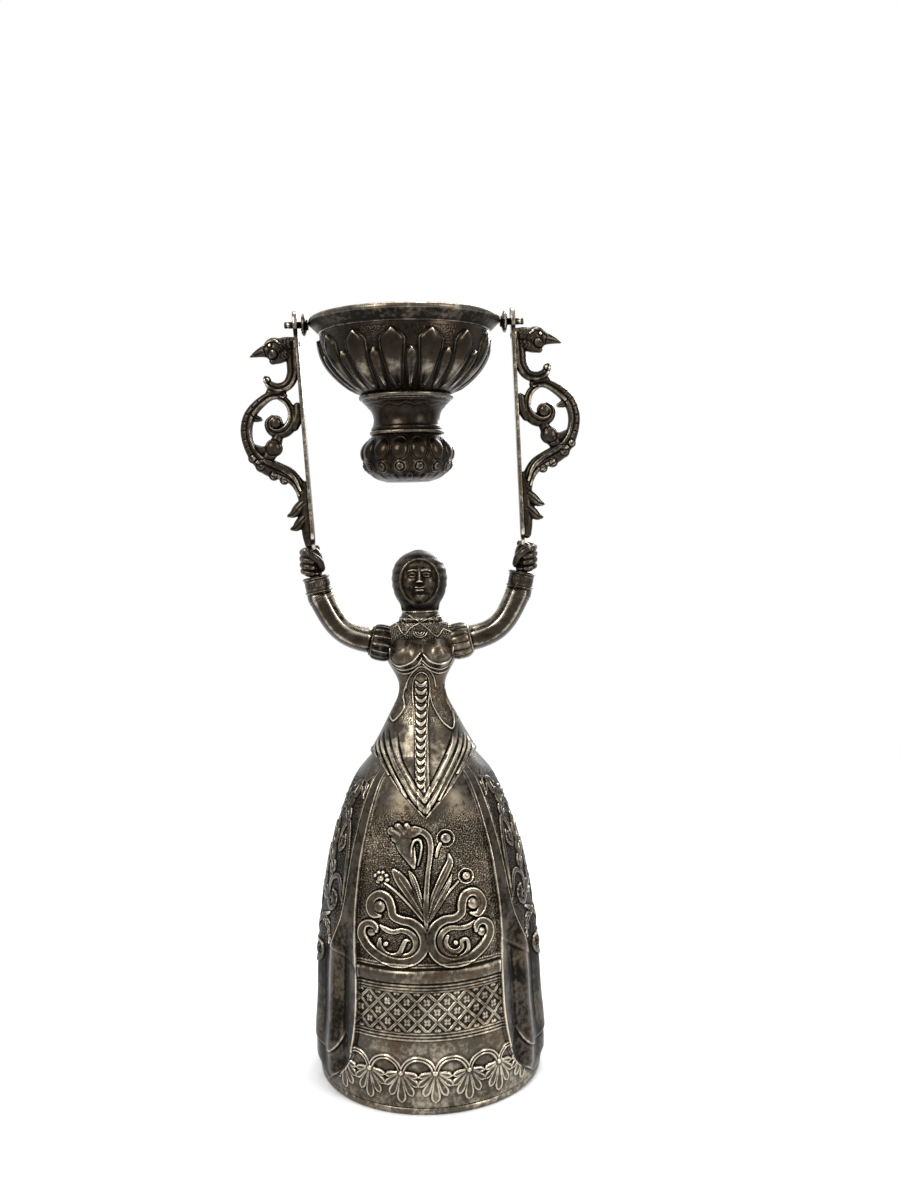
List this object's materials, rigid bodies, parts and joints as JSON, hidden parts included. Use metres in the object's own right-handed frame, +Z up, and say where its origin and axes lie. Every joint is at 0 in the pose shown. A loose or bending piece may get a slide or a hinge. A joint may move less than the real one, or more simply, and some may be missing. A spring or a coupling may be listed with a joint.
{
  "type": "wager cup",
  "caption": "Silver wager cup: figure in a long skirt that is a cup when turned over, holding a small swinging cup between openwork brackets.",
  "frame": {"origin": "bottom centre of the bounding box, on the surface that the hem stands on; the skirt's axis is 1.5 mm to +X of it because both brackets lean to -X", "axes": "+Z up, -Y towards the front of the figure, +X to the viewer's right"},
  "size_m": [0.1118, 0.0768, 0.2541],
  "materials": {
    "chased_silver": "antique silver, dark in the chasing and worn bright on the highs",
    "dark_silver": "darkened cast silver",
    "worn_silver": "silver rubbed bright on plain rims and bars"
  },
  "bodies": {
    "figure": {"skirt_shell": "chased_silver", "skirt_lip": "worn_silver", "waist_disc": "dark_silver", "bodice": "chased_silver", "head": "chased_silver", "left_sleeve": "chased_silver", "right_sleeve": "chased_silver", "left_arm": "dark_silver", "right_arm": "dark_silver", "left_cuff": "dark_silver", "right_cuff": "dark_silver", "left_hand": "dark_silver", "right_hand": "dark_silver", "left_strap": "worn_silver", "right_strap": "worn_silver", "left_scroll": "dark_silver", "right_scroll": "dark_silver"},
    "small_cup": {"cup_rim": "worn_silver", "cup_bowl": "chased_silver", "cup_collar": "worn_silver", "cup_neck": "chased_silver", "cup_neck_ring": "worn_silver", "cup_bulb": "chased_silver", "left_trunnion": "dark_silver", "right_trunnion": "dark_silver"}
  },
  "joints": [
    {"name": "cup_swing", "type": "hinge", "parent": "figure", "child": "small_cup", "pos_m": [-0.00132, 0, 0.2495], "axis": [1, 0, 0], "continuous": true}
  ]
}
